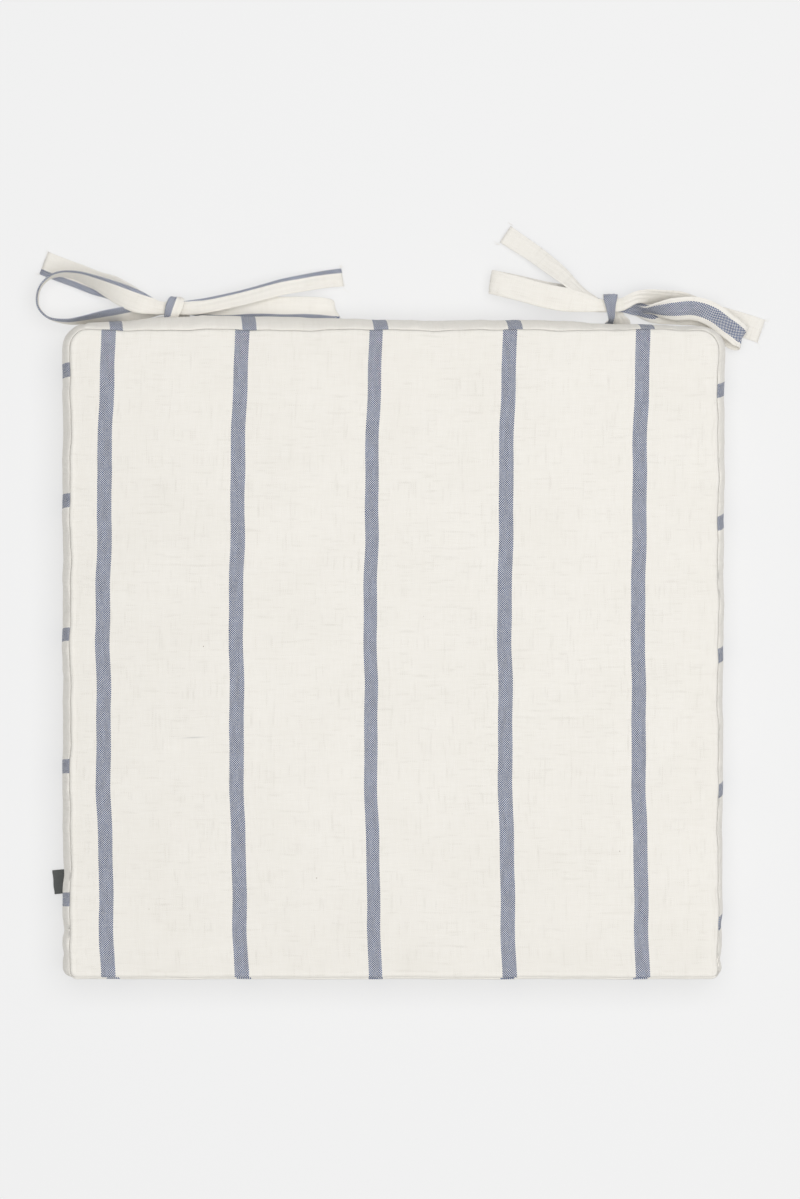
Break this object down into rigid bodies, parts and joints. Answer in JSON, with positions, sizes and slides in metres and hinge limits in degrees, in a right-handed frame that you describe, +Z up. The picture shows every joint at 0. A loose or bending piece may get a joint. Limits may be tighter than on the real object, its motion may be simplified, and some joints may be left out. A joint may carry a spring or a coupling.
{
  "type": "chair seat pad",
  "caption": "Square boxed seat cushion with rounded corners, a striped zipped cloth cover over foam, and flat cloth ties knotted in bows at the back corners.",
  "frame": {"origin": "middle of the flat underside, on the surface the pad rests on", "axes": "+X to the sitter's right, +Y towards the tied back edge, +Z up"},
  "size_m": [0.4548, 0.4713, 0.0399],
  "materials": {
    "striped_linen": "slubby ivory plain weave with narrow blue chambray stripes",
    "foam": "open-cell polyurethane foam, matt",
    "wadding": "white polyester wadding",
    "zip_tape": "ivory woven zip tape",
    "zip_nylon": "ivory nylon coil",
    "zip_metal": "nickel-plated, lightly worn",
    "label_weave": "charcoal woven tab, plain"
  },
  "bodies": {
    "cushion": {"top_panel": "striped_linen", "bottom_panel": "striped_linen", "boxing_strip": "striped_linen", "foam_core": "foam", "wadding_top": "wadding", "wadding_bottom": "wadding", "zip_tape_lower": "zip_tape", "zip_tape_upper": "zip_tape", "zip_coil_lower": "zip_nylon", "zip_coil_upper": "zip_nylon", "zip_stop_left": "zip_metal", "zip_stop_right": "zip_metal", "tie_left_outer": "striped_linen", "tie_left_inner": "striped_linen", "tie_right_outer": "striped_linen", "tie_right_inner": "striped_linen", "label_tab": "label_weave"},
    "slider": {"zip_slider": "zip_metal"},
    "puller": {"zip_puller": "zip_metal"}
  },
  "joints": [
    {"name": "zip_slide", "type": "slide", "parent": "cushion", "child": "slider", "axis": [-1, 0, 0], "range_m": [0, 0.1834]},
    {"name": "puller_flip", "type": "hinge", "parent": "slider", "child": "puller", "pos_m": [0.0917, 0.20205, 0.006], "axis": [0, 0, -1], "range_deg": [0, 180]}
  ]
}
